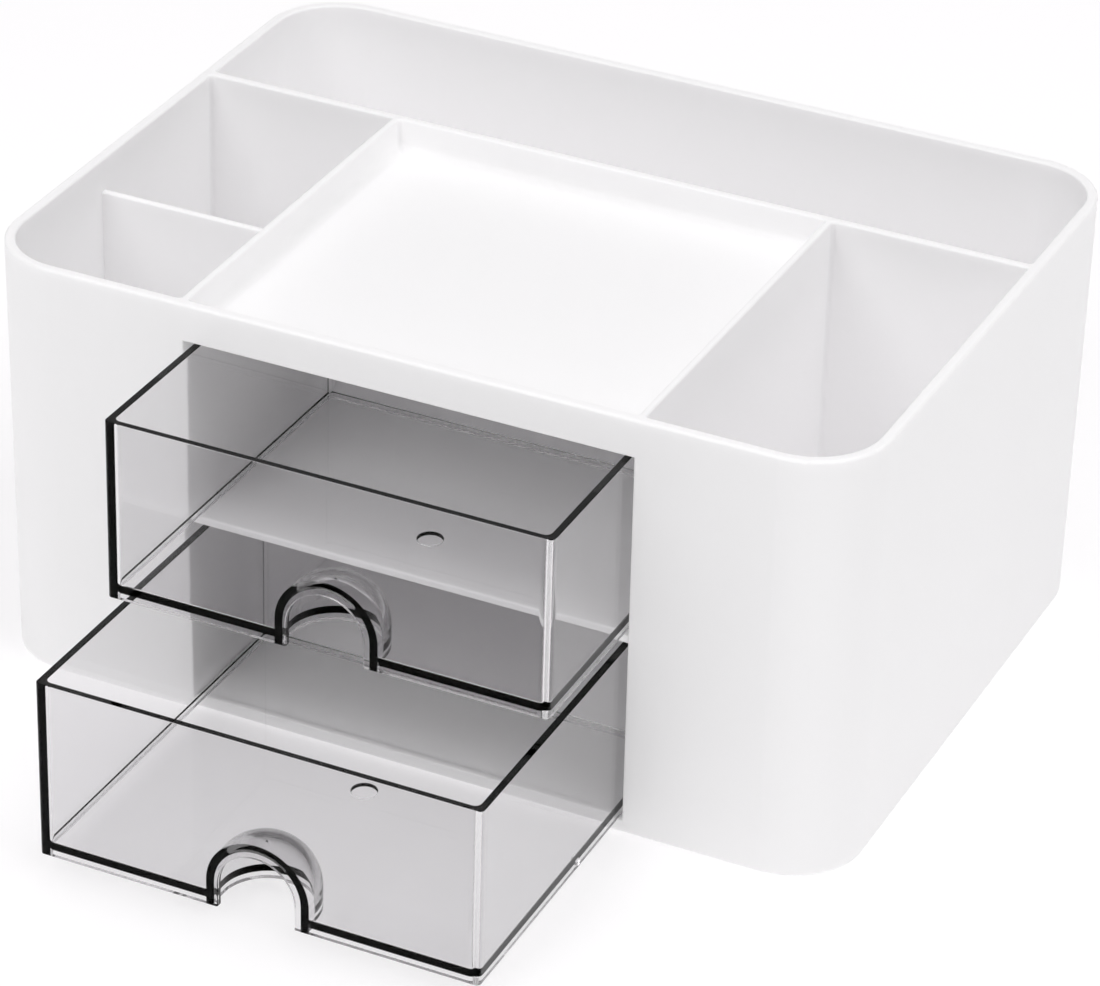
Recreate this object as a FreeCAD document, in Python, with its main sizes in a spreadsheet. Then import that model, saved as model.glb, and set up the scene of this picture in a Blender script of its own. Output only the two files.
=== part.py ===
import FreeCAD, Part
import math
import os
import Sketcher

V = FreeCAD.Vector

doc = FreeCAD.newDocument("desk_organizer")
sheet = doc.addObject("Spreadsheet::Sheet", "Dims")

# ---------------------------------------------------------------- dimensions
# Plan positions run from the left outer face (x) and the front outer face (y)
# of the rim; heights run from the underside of the housing.
CELLS = [
    ("body_width", 250.0), ("body_depth", 184.4), ("body_height", 123.2),
    ("corner_radius", 21.6), ("draft_inset", 1.0), ("wall", 3.0),
    ("inner_corner", 18.6), ("small_corner", 1.2), ("floor_thick", 2.4),
    ("left_part_x", 60.1), ("tray_left_x", 62.1), ("tray_right_x", 189.55),
    ("right_part_x", 191.5), ("back_part_front", 122.05), ("back_part_rear", 124.6),
    ("divider_front", 61.4), ("divider_rear", 63.45), ("divider_drop", 9.5),
    ("tray_depth", 9.2), ("tray_round", 3.0), ("floor_round", 1.0),
    ("bay_left_x", 62.2), ("bay_right_x", 190.0), ("bay_top", 112.4),
    ("sill_height", 3.6), ("foot_proud", 0.6), ("foot_radius", 6.0),
    ("foot_thick", 1.6), ("foot_clear", 0.2), ("foot_span_x", 104.0),
    ("foot_front_y", 18.2), ("foot_rear_y", 166.2),
    ("rim_round", 0.8), ("edge_round", 0.6), ("base_round", 0.6), ("mouth_round", 0.5),
    ("ledge_wide", 2.0), ("ledge_tall", 1.5), ("bead_proud", 0.6), ("bead_tall", 1.0),
    ("bead_long", 12.0), ("bead_front", 14.0), ("bead_rear", 96.0),
    ("shelf_under", 57.3), ("shelf_thick", 2.3), ("shelf_front", 1.2), ("shelf_gap", 0.2),
    ("plate_gap", 0.15), ("plate_thick", 3.5), ("lug_long", 10.0), ("lug_tall", 1.2),
    ("lug_proud", 0.7), ("lug_low", 0.9), ("slot_deep", 0.9), ("slot_slack", 0.15),
    ("lug_front", 22.0), ("lug_rear", 88.0),
    ("drawer_front_width", 125.0), ("drawer_rear_width", 122.8), ("drawer_length", 118.0),
    ("drawer_height", 51.5), ("side_wall", 2.0), ("end_wall", 1.8), ("drawer_corner", 1.3),
    ("drawer_inner_corner", 1.8), ("well_round", 0.5), ("skirt_tall", 1.3), ("drawer_floor", 2.15),
    ("drawer_rim_round", 0.2), ("scoop_inner", 12.3), ("scoop_outer", 14.6),
    ("scoop_mouth", 10.9), ("mouth_lip", 0.5),
    ("scoop_rise", 6.6), ("scoop_back", 6.0), ("pip_radius", 3.6), ("pip_deep", 0.9),
    ("pip_back", 0.8),
    ("nub_long", 2.0), ("nub_wide", 1.4), ("nub_tall", 1.1),
    ("upper_centre_x", 126.5), ("upper_front_y", -43.8), ("upper_low_z", 59.9),
    ("lower_centre_x", 127.2), ("lower_front_y", -81.6), ("lower_low_z", 3.9),
]
for row, (alias, value) in enumerate(CELLS, start=1):
    sheet.set("A%d" % row, alias)
    sheet.set("B%d" % row, repr(value))
    sheet.setAlias("B%d" % row, alias)
doc.recompute()


class Dim:
    """A length with the sheet expression that gives it."""

    def __init__(self, text, value):
        self.text, self.value = text, float(value)

    @staticmethod
    def of(other):
        return other if isinstance(other, Dim) else Dim(repr(float(other)), other)

    def __add__(self, o):
        o = Dim.of(o)
        return Dim("(%s + %s)" % (self.text, o.text), self.value + o.value)

    def __radd__(self, o):
        return Dim.of(o) + self

    def __sub__(self, o):
        o = Dim.of(o)
        return Dim("(%s - %s)" % (self.text, o.text), self.value - o.value)

    def __rsub__(self, o):
        return Dim.of(o) - self

    def __mul__(self, o):
        o = Dim.of(o)
        return Dim("(%s * %s)" % (self.text, o.text), self.value * o.value)

    __rmul__ = __mul__

    def __truediv__(self, o):
        o = Dim.of(o)
        return Dim("(%s / %s)" % (self.text, o.text), self.value / o.value)

    def __neg__(self):
        return Dim("(0 - %s)" % self.text, -self.value)


D = {alias: Dim("Dims.%s" % alias, value) for alias, value in CELLS}
ZERO = Dim("0", 0.0)


def bind(obj, prop, dim):
    obj.setExpression(prop, dim.text)


# plan position (from the rim's outer faces) to the shared frame, whose origin is
# under the middle of the whole object with its drawers part open
def fx(x):
    return Dim.of(x) - D["body_width"] / 2


def fy(y):
    return Dim.of(y) - (D["body_depth"] + D["lower_front_y"]) / 2


def fz(z):
    return Dim.of(z) + D["foot_proud"]


# ---------------------------------------------------------------- sketches
def new_body(label):
    body = doc.addObject("PartDesign::Body", label)
    body.Label = label
    return body


def origin_plane(body, role):
    for feature in body.Origin.OriginFeatures:
        if feature.Role == role:
            return feature
    raise RuntimeError("no plane %s" % role)


def new_sketch(body, name, plane, at):
    """at is the sketch origin in the body's frame, as three Dims."""
    sketch = body.newObject("Sketcher::SketchObject", name)
    sketch.AttachmentSupport = [(origin_plane(body, plane + "_Plane"), "")]
    sketch.MapMode = "FlatFace"
    x, y, z = at
    local = {"XY": (x, y, z), "XZ": (x, z, -y), "YZ": (y, z, x)}[plane]
    sketch.AttachmentOffset = FreeCAD.Placement(
        V(*[c.value for c in local]), FreeCAD.Rotation())
    for axis, c in zip("xyz", local):
        bind(sketch, "AttachmentOffset.Base.%s" % axis, c)
    return sketch


def add_named(sketch, name, constraint, dim):
    index = sketch.addConstraint(constraint)
    sketch.renameConstraint(index, name)
    bind(sketch, "Constraints.%s" % name, dim)


def outline(sketch, wide_low, wide_high, tall, radii):
    """Closed outline, symmetric or straight-sided, from (0, 0) up to `tall`.

    wide_low / wide_high are (left, right) Dims of the low and high side.
    radii are for low-left, low-right, high-right, high-left (None = sharp)."""
    pts = [(wide_low[0], ZERO), (wide_low[1], ZERO), (wide_high[1], tall), (wide_high[0], tall)]
    num = [V(p[0].value, p[1].value, 0) for p in pts]
    ends = []
    for i in range(4):
        here, nxt, prv = num[i], num[(i + 1) % 4], num[i - 1]
        if radii[i] is None:
            ends.append((here, here, None))
            continue
        a, b = (prv - here), (nxt - here)
        a.normalize()
        b.normalize()
        half = a.getAngle(b) / 2
        r = radii[i].value
        run = r / math.tan(half)
        mid = a + b
        mid.normalize()
        ends.append((here + a * run, here + b * run, here + mid * (r / math.sin(half))))
    lines = []
    for i in range(4):
        j = (i + 1) % 4
        lines.append(sketch.addGeometry(Part.LineSegment(ends[i][1], ends[j][0]), False))
    arcs = [None] * 4
    for i in range(4):
        if ends[i][2] is None:
            sketch.addConstraint(Sketcher.Constraint("Coincident", lines[i - 1], 2, lines[i], 1))
            continue
        c = ends[i][2]
        a0 = math.atan2(ends[i][0].y - c.y, ends[i][0].x - c.x)
        a1 = math.atan2(ends[i][1].y - c.y, ends[i][1].x - c.x)
        arcs[i] = sketch.addGeometry(
            Part.ArcOfCircle(Part.Circle(c, V(0, 0, 1), radii[i].value), a0, a1), False)
        sketch.addConstraint(Sketcher.Constraint("Tangent", lines[i - 1], 2, arcs[i], 1))
        sketch.addConstraint(Sketcher.Constraint("Tangent", arcs[i], 2, lines[i], 1))
        add_named(sketch, "round_%d" % i, Sketcher.Constraint("Radius", arcs[i], radii[i].value), radii[i])
    # the low and high sides are level; a corner point carries each side's place
    corners = []
    for i in range(4):
        if arcs[i] is None:
            corners.append((lines[i], 1))
            continue
        g = sketch.addGeometry(Part.Point(num[i]), True)
        sketch.addConstraint(Sketcher.Constraint("PointOnObject", g, 1, lines[i - 1]))
        sketch.addConstraint(Sketcher.Constraint("PointOnObject", g, 1, lines[i]))
        corners.append((g, 1))
    for i in range(4):
        g, pos = corners[i]
        for axis, value in (("X", pts[i][0]), ("Y", pts[i][1])):
            label = "%s_%d" % (axis.lower(), i)
            if abs(value.value) < 1e-9:
                if axis == "X":
                    sketch.addConstraint(Sketcher.Constraint("PointOnObject", g, pos, -2))
                else:
                    sketch.addConstraint(Sketcher.Constraint("PointOnObject", g, pos, -1))
            elif value.value < 0:
                add_named(sketch, label, Sketcher.Constraint(
                    "Distance" + axis, g, pos, -1, 1, -value.value), -value)
            else:
                add_named(sketch, label, Sketcher.Constraint(
                    "Distance" + axis, -1, 1, g, pos, value.value), value)
    return sketch


def box_sketch(body, name, plane, at, wide, tall, radii=(None, None, None, None)):
    sketch = new_sketch(body, name, plane, at)
    return outline(sketch, (ZERO, wide), (ZERO, wide), tall, radii)


def pad(body, name, sketch, length, reverse=False, taper=None):
    feature = body.newObject("PartDesign::Pad", name)
    feature.Profile = sketch
    feature.Length = length.value
    bind(feature, "Length", length)
    feature.Reversed = reverse
    if taper is not None:
        feature.TaperAngle = taper.value
        bind(feature, "TaperAngle", taper)
    sketch.Visibility = False
    doc.recompute()
    return feature


def pocket(body, name, sketch, length, reverse=False):
    before = body.Shape.Volume
    feature = body.newObject("PartDesign::Pocket", name)
    feature.Profile = sketch
    feature.Length = length.value
    bind(feature, "Length", length)
    feature.Reversed = reverse
    sketch.Visibility = False
    doc.recompute()
    if not body.Shape.Volume < before - 1e-3:
        raise RuntimeError("%s removed nothing" % name)
    return feature


def edge_names(shape, keep):
    names = []
    for i, edge in enumerate(shape.Edges, start=1):
        if keep(edge):
            names.append("Edge%d" % i)
    return names


def flat_at(edge, z, tol=2e-3):
    first, last = edge.FirstParameter, edge.LastParameter
    return all(abs(edge.valueAt(first + (last - first) * k).z - z) < tol
               for k in (0.0, 0.3, 0.5, 0.8, 1.0))


def within(edge, x0, x1, y0, y1, z0, z1, tol=1e-3):
    b = edge.BoundBox
    return (b.XMin > x0 - tol and b.XMax < x1 + tol and b.YMin > y0 - tol
            and b.YMax < y1 + tol and b.ZMin > z0 - tol and b.ZMax < z1 + tol)


def fillet(body, name, base, keep, radius):
    names = edge_names(base.Shape, keep)
    if not names:
        raise RuntimeError("%s found no edges" % name)
    feature = body.newObject("PartDesign::Fillet", name)
    feature.Base = (base, names)
    feature.Radius = radius.value
    bind(feature, "Radius", radius)
    doc.recompute()
    if feature.Shape.isNull() or "Invalid" in feature.State:
        raise RuntimeError("%s failed on %d edges" % (name, len(names)))
    return feature


def place(body, x, y, z):
    body.Placement = FreeCAD.Placement(V(x.value, y.value, z.value), FreeCAD.Rotation())
    for axis, c in zip("xyz", (x, y, z)):
        bind(body, "Placement.Base.%s" % axis, c)


# ---------------------------------------------------------------- housing
def build_housing():
    body = new_body("housing")
    inset = D["draft_inset"]
    r_low = D["corner_radius"] - inset
    low = fz(0.0)
    top = fz(D["body_height"])
    sk = box_sketch(body, "outline", "XY", (fx(inset), fy(inset), low),
                    D["body_width"] - inset * 2, D["body_depth"] - inset * 2, (r_low,) * 4)
    lean = Dim("atan(%s / %s)" % (inset.text, D["body_height"].text),
               math.degrees(math.atan(inset.value / D["body_height"].value)))
    pad(body, "shell", sk, D["body_height"], taper=lean)

    wall, rc, rs = D["wall"], D["inner_corner"], D["small_corner"]
    deep = D["body_height"] - D["floor_thick"]

    def compartment(name, x0, x1, y0, y1, depth, radii, start=top):
        s = box_sketch(body, name + "_outline", "XY", (fx(x0), fy(y0), start), x1 - x0, y1 - y0, radii)
        return pocket(body, name, s, depth)

    x_in, x_out = wall, D["body_width"] - wall
    y_in, y_out = wall, D["body_depth"] - wall
    compartment("rear_compartment", x_in, x_out, D["back_part_rear"], y_out, deep, (rs, rs, rc, rc))
    # the left pair share one mouth down to the top of the lower divider
    compartment("left_mouth", x_in, D["left_part_x"], y_in, D["back_part_front"],
                D["divider_drop"], (rc, rs, rs, rs))
    shelf_z = top - D["divider_drop"]
    rest = deep - D["divider_drop"]
    compartment("left_front_compartment", x_in, D["left_part_x"], y_in, D["divider_front"],
                rest, (rc, rs, None, None), shelf_z)
    compartment("left_rear_compartment", x_in, D["left_part_x"], D["divider_rear"], D["back_part_front"],
                rest, (None, None, rs, rs), shelf_z)
    compartment("right_compartment", D["right_part_x"], x_out, y_in, D["back_part_front"],
                deep, (rs, rc, rs, rs))
    compartment("tray", D["tray_left_x"], D["tray_right_x"], y_in, D["back_part_front"],
                D["tray_depth"], (rs, rs, rs, rs))

    # drawer bay, cored from below, and its mouth through the front wall
    bay_wide = D["bay_right_x"] - D["bay_left_x"]
    bay_long = D["back_part_front"] - wall
    s = box_sketch(body, "bay_outline", "XY", (fx(D["bay_left_x"]), fy(wall), low), bay_wide, bay_long)
    pocket(body, "drawer_bay", s, D["bay_top"], reverse=True)
    s = box_sketch(body, "mouth_outline", "XZ", (fx(D["bay_left_x"]), fy(-2.0), fz(D["sill_height"])),
                   bay_wide, D["bay_top"] - D["sill_height"])
    pocket(body, "drawer_mouth", s, wall + 2.2, reverse=False)

    # ledges that carry the shelf, and the beads that hold it down
    ledge_z = fz(D["shelf_under"] - D["ledge_tall"])
    for side, x in (("left", D["bay_left_x"] - 0.4), ("right", D["bay_right_x"] - D["ledge_wide"])):
        s = box_sketch(body, "ledge_%s_outline" % side, "XZ", (fx(x), fy(wall + 1.0), ledge_z),
                       D["ledge_wide"] + 0.4, D["ledge_tall"])
        pad(body, "ledge_" + side, s, bay_long - 1.0, reverse=True)
    bead_z = fz(D["shelf_under"] + D["shelf_thick"] + 0.1)
    for side, x in (("left", D["bay_left_x"] - 0.4), ("right", D["bay_right_x"] - D["bead_proud"])):
        for end, y in (("front", D["bead_front"]), ("rear", D["bead_rear"])):
            s = box_sketch(body, "bead_%s_%s_outline" % (side, end), "XZ", (fx(x), fy(y), bead_z),
                           D["bead_proud"] + 0.4, D["bead_tall"])
            pad(body, "bead_%s_%s" % (side, end), s, D["bead_long"], reverse=True)

    # slots that take the base plate's lugs
    slack = D["slot_slack"]
    slot_z = fz(D["lug_low"]) - slack
    for side, x in (("left", D["bay_left_x"] - D["slot_deep"]), ("right", D["bay_right_x"] - 0.4)):
        for end, y in (("front", D["lug_front"]), ("rear", D["lug_rear"])):
            s = box_sketch(body, "slot_%s_%s_outline" % (side, end), "XZ",
                           (fx(x), fy(y) - slack, slot_z), D["slot_deep"] + 0.4, D["lug_tall"] + slack * 2)
            pocket(body, "slot_%s_%s" % (side, end), s, D["lug_long"] + slack * 2, reverse=False)

    # round seats for the feet
    for name, sx, y in FEET:
        s = new_sketch(body, name + "_seat_outline", "XY", (D["foot_span_x"] * sx, y, low))
        g = s.addGeometry(Part.Circle(V(0, 0, 0), V(0, 0, 1), D["foot_radius"].value), False)
        s.addConstraint(Sketcher.Constraint("Coincident", g, 3, -1, 1))
        r = D["foot_radius"] + D["foot_clear"]
        add_named(s, "seat", Sketcher.Constraint("Radius", g, r.value), r)
        last = pocket(body, name + "_seat", s, D["foot_thick"] - D["foot_proud"], reverse=True)

    # rounding: tray floor, compartment floors, rim, partition tops, base, mouth
    half_w, half_d = D["body_width"].value / 2, D["body_depth"].value / 2
    mid_y = fy(D["body_depth"] / 2).value
    zt, zb = top.value, low.value
    tray_z = (top - D["tray_depth"]).value
    floor_z = fz(D["floor_thick"]).value
    div_z = shelf_z.value
    last = fillet(body, "tray_floor_round", last, lambda e: flat_at(e, tray_z), D["tray_round"])
    inner = wall.value + 0.5
    last = fillet(body, "compartment_floor_round", last,
                  lambda e: flat_at(e, floor_z) and not within(
                      e, fx(D["bay_left_x"]).value - 1, fx(D["bay_right_x"]).value + 1,
                      mid_y - half_d - 1, fy(D["back_part_front"]).value + 0.5, zb, zt),
                  D["floor_round"])

    def outer_loop(e, z, inset_now):
        b = e.BoundBox
        if not flat_at(e, z):
            return False
        mid = e.valueAt((e.FirstParameter + e.LastParameter) / 2) - V(0, mid_y, 0)
        near_x = abs(abs(mid.x) - (half_w - inset_now)) < 1.0
        near_y = abs(abs(mid.y) - (half_d - inset_now)) < 1.0
        corner = min(abs(mid.x), abs(mid.x)) > half_w - D["corner_radius"].value and \
            abs(mid.y) > half_d - D["corner_radius"].value
        if corner:
            cx = math.copysign(half_w - D["corner_radius"].value, mid.x)
            cy = math.copysign(half_d - D["corner_radius"].value, mid.y)
            away = math.hypot(mid.x - cx, mid.y - cy)
            return abs(away - (D["corner_radius"].value - inset_now)) < 1.0
        return near_x or near_y

    last = fillet(body, "rim_outer_round", last, lambda e: outer_loop(e, zt, 0.0), D["rim_round"])
    last = fillet(body, "rim_inner_round", last,
                  lambda e: flat_at(e, zt) and not outer_loop(e, zt, D["rim_round"].value), D["edge_round"])
    last = fillet(body, "divider_top_round", last,
                  lambda e: flat_at(e, div_z) and e.Length > 40.0
                  and fy(D["divider_front"]).value - 0.1 < e.BoundBox.YMin < fy(D["divider_rear"]).value + 0.1
                  and e.BoundBox.YMax < fy(D["divider_rear"]).value + 0.1, D["edge_round"])
    last = fillet(body, "base_outer_round", last, lambda e: outer_loop(e, zb, 1.0), D["base_round"])
    mouth_x0, mouth_x1 = fx(D["bay_left_x"]).value, fx(D["bay_right_x"]).value
    last = fillet(body, "mouth_edge_round", last,
                  lambda e: e.BoundBox.YMax < mid_y - half_d + 1.2 and within(
                      e, mouth_x0, mouth_x1, mid_y - half_d - 1, mid_y - half_d + 1.2,
                      fz(D["sill_height"]).value, fz(D["bay_top"]).value), D["mouth_round"])
    return body


FEET = [("foot_front_left", -1, fy(D["foot_front_y"])), ("foot_front_right", 1, fy(D["foot_front_y"])),
        ("foot_rear_left", -1, fy(D["foot_rear_y"])), ("foot_rear_right", 1, fy(D["foot_rear_y"]))]


# ---------------------------------------------------------------- shelf, base
def build_shelf():
    body = new_body("drawer_shelf")
    gap = D["shelf_gap"]
    wide = D["bay_right_x"] - D["bay_left_x"] - gap * 2
    long = D["back_part_front"] - D["shelf_front"] - gap
    s = box_sketch(body, "outline", "XY", (-(wide / 2), ZERO, ZERO), wide, long)
    last = pad(body, "plate", s, D["shelf_thick"])
    last = fillet(body, "front_round", last,
                  lambda e: e.BoundBox.YMax < 1e-3 and e.Length > 100.0, D["shelf_thick"] * 0.3)
    place(body, fx(D["bay_left_x"] + gap) + wide / 2, fy(D["shelf_front"]), fz(D["shelf_under"]))
    return body


def build_base_plate():
    body = new_body("base_plate")
    gap = D["plate_gap"]
    wide = D["bay_right_x"] - D["bay_left_x"] - gap * 2
    long = D["back_part_front"] - D["wall"] - gap * 2
    s = box_sketch(body, "outline", "XY", (-(wide / 2), ZERO, ZERO), wide, long)
    last = pad(body, "plate", s, D["plate_thick"])
    reach = D["lug_proud"] + gap
    for side, x in (("left", -(wide / 2) - D["lug_proud"]), ("right", wide / 2 - 1.0)):
        for end, y in (("front", D["lug_front"]), ("rear", D["lug_rear"])):
            s = box_sketch(body, "lug_%s_%s_outline" % (side, end), "XZ",
                           (x, y - D["wall"] - gap, D["lug_low"]), D["lug_proud"] + 1.0, D["lug_tall"])
            last = pad(body, "lug_%s_%s" % (side, end), s, D["lug_long"], reverse=True)
    place(body, fx(D["bay_left_x"] + gap) + wide / 2, fy(D["wall"] + gap), fz(0.0))
    return body


def build_foot(name, sx, y):
    body = new_body(name)
    s = new_sketch(body, "outline", "XY", (ZERO, ZERO, ZERO))
    g = s.addGeometry(Part.Circle(V(0, 0, 0), V(0, 0, 1), D["foot_radius"].value), False)
    s.addConstraint(Sketcher.Constraint("Coincident", g, 3, -1, 1))
    add_named(s, "disc", Sketcher.Constraint("Radius", g, D["foot_radius"].value), D["foot_radius"])
    last = pad(body, "pad", s, D["foot_thick"])
    fillet(body, "tread_round", last, lambda e: flat_at(e, 0.0), D["foot_proud"] * 0.5)
    place(body, D["foot_span_x"] * sx, y, ZERO)
    return body


# ---------------------------------------------------------------- drawers
def build_drawer(label, centre_x, front_y, low_z):
    """Origin at the middle of the front face's lower edge; +Y runs to the rear."""
    body = new_body(label)
    con = Sketcher.Constraint
    fw, rw = D["drawer_front_width"] / 2, D["drawer_rear_width"] / 2
    long, tall = D["drawer_length"], D["drawer_height"]
    side, end = D["side_wall"], D["end_wall"]
    ro, ri = D["drawer_corner"], D["drawer_inner_corner"]
    s = new_sketch(body, "outline", "XY", (ZERO, ZERO, ZERO))
    outline(s, (-fw, fw), (-rw, rw), long, (ro,) * 4)
    last = pad(body, "block", s, tall)

    floor_top = D["skirt_tall"] + D["drawer_floor"]
    s = new_sketch(body, "well_outline", "XY", (ZERO, end, tall))
    outline(s, (-(fw - side), fw - side), (-(rw - side), rw - side), long - end * 2, (ri,) * 4)
    last = pocket(body, "well", s, tall - floor_top)
    last = fillet(body, "well_floor_round", last, lambda e: flat_at(e, floor_top.value), D["well_round"])
    s = new_sketch(body, "skirt_outline", "XY", (ZERO, end, ZERO))
    outline(s, (-(fw - side), fw - side), (-(rw - side), rw - side), long - end * 2, (ri,) * 4)
    last = pocket(body, "skirt", s, D["skirt_tall"], reverse=True)

    # finger scoop: an arched tunnel through the front wall that closes as a dome
    def foot_line(sk, low, tip):
        if abs(low.value) < 1e-9:
            sk.addConstraint(con("PointOnObject", tip[0], tip[1], -1))
        else:
            add_named(sk, "foot_depth", con("DistanceY", tip[0], tip[1], -1, 1, -low.value), -low)

    def tunnel_arch(name, radius, low, at_y):
        sk = new_sketch(body, name, "XZ", (ZERO, at_y, ZERO))
        r, rise = radius.value, D["scoop_rise"].value
        base = sk.addGeometry(Part.LineSegment(V(-r, low.value, 0), V(r, low.value, 0)), False)
        right = sk.addGeometry(Part.LineSegment(V(r, low.value, 0), V(r, rise, 0)), False)
        arch = sk.addGeometry(Part.ArcOfCircle(Part.Circle(V(0, rise, 0), V(0, 0, 1), r), 0.0, math.pi), False)
        left = sk.addGeometry(Part.LineSegment(V(-r, rise, 0), V(-r, low.value, 0)), False)
        sk.addConstraint(con("Coincident", base, 2, right, 1))
        sk.addConstraint(con("Tangent", right, 2, arch, 1))
        sk.addConstraint(con("Tangent", arch, 2, left, 1))
        sk.addConstraint(con("Coincident", left, 2, base, 1))
        sk.addConstraint(con("Horizontal", base))
        sk.addConstraint(con("Vertical", right))
        sk.addConstraint(con("PointOnObject", arch, 3, -2))
        add_named(sk, "arch_radius", con("Radius", arch, r), radius)
        add_named(sk, "arch_rise", con("DistanceY", -1, 1, arch, 3, rise), D["scoop_rise"])
        foot_line(sk, low, (base, 1))
        return sk

    def dome_profile(name, radius, low):
        sk = new_sketch(body, name, "YZ", (ZERO, D["scoop_back"], ZERO))
        r, rise = radius.value, D["scoop_rise"].value
        base = sk.addGeometry(Part.LineSegment(V(0, low.value, 0), V(r, low.value, 0)), False)
        upright = sk.addGeometry(Part.LineSegment(V(r, low.value, 0), V(r, rise, 0)), False)
        dome = sk.addGeometry(Part.ArcOfCircle(Part.Circle(V(0, rise, 0), V(0, 0, 1), r), 0.0, math.pi / 2), False)
        axis = sk.addGeometry(Part.LineSegment(V(0, rise + r, 0), V(0, low.value, 0)), False)
        sk.addConstraint(con("Coincident", base, 2, upright, 1))
        sk.addConstraint(con("Tangent", upright, 2, dome, 1))
        sk.addConstraint(con("Coincident", dome, 2, axis, 1))
        sk.addConstraint(con("Coincident", axis, 2, base, 1))
        sk.addConstraint(con("Horizontal", base))
        sk.addConstraint(con("PointOnObject", axis, 1, -2))
        sk.addConstraint(con("PointOnObject", dome, 3, -2))
        sk.addConstraint(con("PointOnObject", axis, 2, -2))
        add_named(sk, "dome_radius", con("Radius", dome, r), radius)
        add_named(sk, "dome_rise", con("DistanceY", -1, 1, dome, 3, rise), D["scoop_rise"])
        foot_line(sk, low, (axis, 2))
        return sk

    def half_turn(kind, name, sk):
        before = body.Shape.Volume
        feature = body.newObject(kind, name)
        feature.Profile = sk
        feature.ReferenceAxis = (sk, ["V_Axis"])
        feature.Angle = 180.0
        feature.Midplane = True
        sk.Visibility = False
        doc.recompute()
        if abs(body.Shape.Volume - before) < 1e-3:
            raise RuntimeError("%s changed nothing" % name)
        return feature

    below = Dim("-1", -1.0)
    s = tunnel_arch("tunnel_shell_outline", D["scoop_outer"], ZERO, end / 2)
    last = pad(body, "tunnel_shell", s, D["scoop_back"] - end / 2, reverse=True)
    last = half_turn("PartDesign::Revolution", "dome_shell",
                     dome_profile("dome_shell_profile", D["scoop_outer"], ZERO))
    s = tunnel_arch("tunnel_outline", D["scoop_inner"], below, end)
    last = pocket(body, "tunnel", s, D["scoop_back"] - end)
    last = half_turn("PartDesign::Groove", "dome",
                     dome_profile("dome_profile", D["scoop_inner"], below))
    # the front wall closes in round the tunnel, which leaves a lip to pull on
    s = tunnel_arch("mouth_outline", D["scoop_mouth"], below, Dim("-1", -1.0))
    last = pocket(body, "mouth", s, end + 1.0)
    reach = D["scoop_mouth"].value + 0.1
    last = fillet(body, "tunnel_mouth_round", last,
                  lambda e: within(e, -reach, reach, 0.0, 0.0, -1.0,
                                   D["scoop_rise"].value + reach) and e.BoundBox.ZMax > 1.0, D["mouth_lip"])

    # round dimple in the floor
    s = new_sketch(body, "pip_outline", "XY", (ZERO, long / 2 + D["pip_back"], floor_top))
    g = s.addGeometry(Part.Circle(V(0, 0, 0), V(0, 0, 1), D["pip_radius"].value), False)
    s.addConstraint(con("Coincident", g, 3, -1, 1))
    add_named(s, "pip", con("Radius", g, D["pip_radius"].value), D["pip_radius"])
    last = pocket(body, "pip", s, D["pip_deep"])
    pip_floor = (floor_top - D["pip_deep"]).value
    last = fillet(body, "pip_round", last, lambda e: flat_at(e, pip_floor), D["pip_deep"] * 0.5)

    # small nub inside the skirt, half way along the right side
    mid_half = (D["drawer_front_width"] + D["drawer_rear_width"]) / 4 - side
    s = box_sketch(body, "nub_outline", "XY",
                   (mid_half - D["nub_wide"], long / 2 - D["nub_long"] / 2, D["skirt_tall"] + 0.4),
                   D["nub_wide"] + 0.4, D["nub_long"])
    last = pad(body, "nub", s, D["nub_tall"] + 0.4, reverse=True)

    zt = tall.value
    last = fillet(body, "rim_round", last, lambda e: flat_at(e, zt), D["drawer_rim_round"])
    place(body, fx(centre_x), fy(front_y), fz(low_z))
    return body


bodies = [build_housing(), build_shelf(), build_base_plate()]
bodies += [build_foot(name, sx, y) for name, sx, y in FEET]
bodies.append(build_drawer("upper_drawer", D["upper_centre_x"], D["upper_front_y"], D["upper_low_z"]))
bodies.append(build_drawer("lower_drawer", D["lower_centre_x"], D["lower_front_y"], D["lower_low_z"]))
doc.recompute()

for obj in doc.Objects:
    if "Invalid" in obj.State or "Error" in obj.State:
        raise RuntimeError("%s is in state %s" % (obj.Name, obj.State))

os.makedirs("parts", exist_ok=True)
for body in bodies:
    shape = body.Shape
    if shape.isNull() or not shape.isValid():
        raise RuntimeError("%s has no valid shape" % body.Label)
    shape.exportStep("parts/%s.step" % body.Label)
    b = shape.BoundBox
    print("%-18s solids %d volume %.1f cm3  x %.2f..%.2f y %.2f..%.2f z %.2f..%.2f" % (
        body.Label, len(shape.Solids), shape.Volume / 1000, b.XMin, b.XMax, b.YMin, b.YMax, b.ZMin, b.ZMax))
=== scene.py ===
import bpy
from mathutils import Matrix

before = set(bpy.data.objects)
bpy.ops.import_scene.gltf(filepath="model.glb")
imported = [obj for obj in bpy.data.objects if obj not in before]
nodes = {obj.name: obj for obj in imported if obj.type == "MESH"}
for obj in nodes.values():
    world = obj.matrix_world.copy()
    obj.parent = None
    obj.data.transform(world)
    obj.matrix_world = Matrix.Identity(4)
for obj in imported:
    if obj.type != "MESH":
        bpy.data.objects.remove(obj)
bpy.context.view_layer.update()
scene = bpy.context.scene
scene.view_settings.view_transform = "Standard"
scene.view_settings.look = "None"
scene.cycles.max_bounces = 24
scene.cycles.transmission_bounces = 24
scene.cycles.transparent_max_bounces = 24
scene.cycles.diffuse_bounces = 10
scene.cycles.caustics_refractive = True
scene.cycles.caustics_reflective = False


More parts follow.
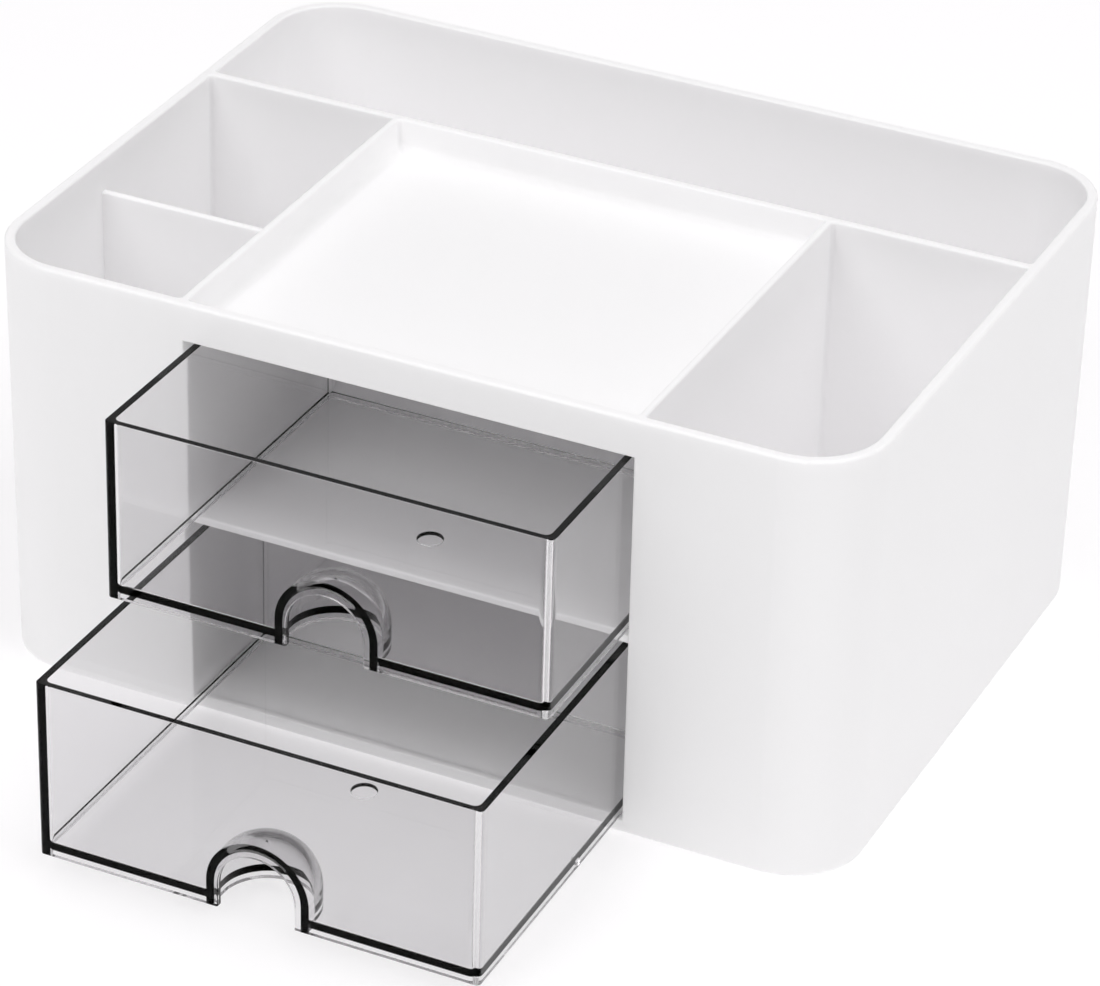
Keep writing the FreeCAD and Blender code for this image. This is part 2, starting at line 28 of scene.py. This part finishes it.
# ---------------------------------------------------------------- camera
cam_data = bpy.data.cameras.new("camera")
cam_data.sensor_fit = "HORIZONTAL"
cam_data.sensor_width = 36.0
cam_data.lens = 163.069
cam_data.clip_start = 0.05
cam_data.clip_end = 50.0
cam = bpy.data.objects.new("camera", cam_data)
scene.collection.objects.link(cam)
cam.matrix_world = Matrix((
    (0.90137099, -0.23758537, 0.36205459, 0.49521),
    (0.43237484, 0.44716628, -0.78300339, -1.03062),
    (0.02413154, 0.86231984, 0.50578865, 0.72935),
    (0, 0, 0, 1)))
scene.camera = cam


# ---------------------------------------------------------------- light
world = bpy.data.worlds.new("studio")
world.use_nodes = True
wt = world.node_tree
wt.nodes.clear()
out = wt.nodes.new("ShaderNodeOutputWorld")
bg = wt.nodes.new("ShaderNodeBackground")
sky_co = wt.nodes.new("ShaderNodeTexCoord")
sky_xyz = wt.nodes.new("ShaderNodeSeparateXYZ")
sky_ramp = wt.nodes.new("ShaderNodeMapRange")
sky_ramp.inputs["From Min"].default_value = 0.0
sky_ramp.inputs["From Max"].default_value = 1.0
sky_ramp.inputs["To Min"].default_value = 0.17
sky_ramp.inputs["To Max"].default_value = 0.95
wt.links.new(sky_co.outputs["Generated"], sky_xyz.inputs[0])
wt.links.new(sky_xyz.outputs["Z"], sky_ramp.inputs["Value"])
wt.links.new(sky_ramp.outputs[0], bg.inputs["Strength"])
bg.inputs["Color"].default_value = (1.0, 0.985, 1.0, 1)
wt.links.new(bg.outputs[0], out.inputs["Surface"])
scene.world = world


def area_light(name, pos, target, size, power, colour=(1, 1, 1)):
    data = bpy.data.lights.new(name, "AREA")
    data.shape = "RECTANGLE"
    data.size, data.size_y = size
    data.energy = power
    data.color = colour
    o = bpy.data.objects.new(name, data)
    scene.collection.objects.link(o)
    from mathutils import Vector
    d = Vector(target) - Vector(pos)
    o.location = pos
    o.rotation_euler = d.to_track_quat("-Z", "Y").to_euler()
    return o


area_light("top_softbox", (0.9, -0.2, 1.8), (0, 0, 0.05), (0.9, 0.9), 10.2)
area_light("key_softbox", (-0.45, -1.45, 1.25), (0, -0.05, 0.05), (0.7, 0.7), 6.4)


# ---------------------------------------------------------------- floor
def stage_floor():
    me = bpy.data.meshes.new("floor")
    s = 6.0
    me.from_pydata([(-s, -s, 0), (s, -s, 0), (s, s, 0), (-s, s, 0)], [], [(0, 1, 2, 3)])
    o = bpy.data.objects.new("floor", me)
    scene.collection.objects.link(o)
    m = bpy.data.materials.new("floor_paper")
    m.use_nodes = True
    b = m.node_tree.nodes["Principled BSDF"]
    b.inputs["Roughness"].default_value = 1.0
    b.inputs["Specular IOR Level"].default_value = 0.0
    b.inputs["Base Color"].default_value = (0.7, 0.7, 0.7, 1)
    b.inputs["Emission Color"].default_value = (1.0, 0.985, 1.0, 1)
    b.inputs["Emission Strength"].default_value = 0.345
    me.materials.append(m)
    return o


stage_floor()


# ---------------------------------------------------------------- materials
def new_material(name):
    m = bpy.data.materials.new(name)
    m.use_nodes = True
    nt = m.node_tree
    return m, nt, nt.nodes["Principled BSDF"], nt.nodes["Material Output"]


def noise(nt, scale, detail=3.0, roughness=0.5, coords=None):
    n = nt.nodes.new("ShaderNodeTexNoise")
    n.inputs["Scale"].default_value = scale
    n.inputs["Detail"].default_value = detail
    n.inputs["Roughness"].default_value = roughness
    if coords is not None:
        nt.links.new(coords, n.inputs["Vector"])
    return n


def ramp(nt, source, lo, hi, a, b):
    r = nt.nodes.new("ShaderNodeMapRange")
    r.inputs["From Min"].default_value = lo
    r.inputs["From Max"].default_value = hi
    r.inputs["To Min"].default_value = a
    r.inputs["To Max"].default_value = b
    nt.links.new(source, r.inputs["Value"])
    return r.outputs[0]


def white_plastic():
    m, nt, b, out = new_material("white_plastic_moulded")
    tc = nt.nodes.new("ShaderNodeTexCoord")
    cloud = noise(nt, 9.0, 2.0, 0.5, tc.outputs["Object"])
    mix = nt.nodes.new("ShaderNodeMixRGB")
    mix.inputs["Color1"].default_value = (0.975, 0.971, 0.975, 1)
    mix.inputs["Color2"].default_value = (0.986, 0.982, 0.986, 1)
    nt.links.new(cloud.outputs["Fac"], mix.inputs["Fac"])
    nt.links.new(mix.outputs[0], b.inputs["Base Color"])
    fine = noise(nt, 2600.0, 2.0, 0.6, tc.outputs["Object"])
    nt.links.new(ramp(nt, fine.outputs["Fac"], 0.3, 0.7, 0.36, 0.44), b.inputs["Roughness"])
    bump = nt.nodes.new("ShaderNodeBump")
    bump.inputs["Strength"].default_value = 0.05
    bump.inputs["Distance"].default_value = 0.00004
    nt.links.new(fine.outputs["Fac"], bump.inputs["Height"])
    nt.links.new(bump.outputs[0], b.inputs["Normal"])
    b.inputs["IOR"].default_value = 1.5
    b.inputs["Subsurface Weight"].default_value = 1.0
    b.inputs["Subsurface Radius"].default_value = (1.0, 1.0, 1.0)
    b.inputs["Subsurface Scale"].default_value = 0.0015
    return m


def smoked_plastic(name, density, pass_through):
    m, nt, b, out = new_material(name)
    tc = nt.nodes.new("ShaderNodeTexCoord")
    cloud = noise(nt, 14.0, 2.0, 0.5, tc.outputs["Object"])
    mix = nt.nodes.new("ShaderNodeMixRGB")
    mix.inputs["Color1"].default_value = (0.97, 0.965, 0.975, 1)
    mix.inputs["Color2"].default_value = (1.0, 0.995, 1.0, 1)
    nt.links.new(cloud.outputs["Fac"], mix.inputs["Fac"])
    nt.links.new(mix.outputs[0], b.inputs["Base Color"])
    b.inputs["Roughness"].default_value = 0.02
    b.inputs["IOR"].default_value = 1.49
    b.inputs["Transmission Weight"].default_value = 1.0
    b.inputs["Specular Tint"].default_value = (0.0, 0.0, 0.0, 1)
    va = nt.nodes.new("ShaderNodeVolumeAbsorption")
    va.inputs["Color"].default_value = (0.0, 0.0, 0.0, 1)
    va.inputs["Density"].default_value = density
    nt.links.new(va.outputs[0], out.inputs["Volume"])
    # lamp and bounce light pass straight through, tinted by the plastic's depth and by
    # pass_through, which below one darkens the shadow cast as painted shade
    path = nt.nodes.new("ShaderNodeLightPath")
    clear = nt.nodes.new("ShaderNodeBsdfTransparent")
    clear.inputs["Color"].default_value = (pass_through, pass_through, pass_through, 1)
    surface = b.outputs[0]
    for ray in ("Is Shadow Ray", "Is Diffuse Ray"):
        pick = nt.nodes.new("ShaderNodeMixShader")
        nt.links.new(path.outputs[ray], pick.inputs["Fac"])
        nt.links.new(surface, pick.inputs[1])
        nt.links.new(clear.outputs[0], pick.inputs[2])
        surface = pick.outputs[0]
    nt.links.new(surface, out.inputs["Surface"])
    return m


def rubber():
    m, nt, b, out = new_material("foot_rubber_soft")
    tc = nt.nodes.new("ShaderNodeTexCoord")
    fine = noise(nt, 1800.0, 3.0, 0.6, tc.outputs["Object"])
    mix = nt.nodes.new("ShaderNodeMixRGB")
    mix.inputs["Color1"].default_value = (0.93, 0.925, 0.93, 1)
    mix.inputs["Color2"].default_value = (0.97, 0.965, 0.97, 1)
    nt.links.new(fine.outputs["Fac"], mix.inputs["Fac"])
    nt.links.new(mix.outputs[0], b.inputs["Base Color"])
    b.inputs["Roughness"].default_value = 0.85
    b.inputs["Subsurface Weight"].default_value = 1.0
    b.inputs["Subsurface Radius"].default_value = (1.0, 1.0, 1.0)
    b.inputs["Subsurface Scale"].default_value = 0.002
    return m


WHITE, RUBBER = white_plastic(), rubber()
# upper drawer: a lighter copy of the same smoked plastic with thinner smoke, painted light
# in the bay seen through it
SMOKED_UPPER_PAINTED_LIGHT = smoked_plastic("smoked_plastic_upper_painted_light", 38.0, 1.0)
# lower drawer: a darker copy of the same smoked plastic, denser and passing less lamp
# light, painted shade on the table and bay seen through and under it
SMOKED_LOWER_PAINTED_SHADE = smoked_plastic("smoked_plastic_lower_painted_shade", 52.0, 0.985)
FINISH = {"housing": WHITE, "drawer_shelf": WHITE, "base_plate": WHITE,
          "upper_drawer": SMOKED_UPPER_PAINTED_LIGHT, "lower_drawer": SMOKED_LOWER_PAINTED_SHADE}
for name, o in nodes.items():
    mat = FINISH.get(name, RUBBER)
    o.data.materials.clear()
    o.data.materials.append(mat)
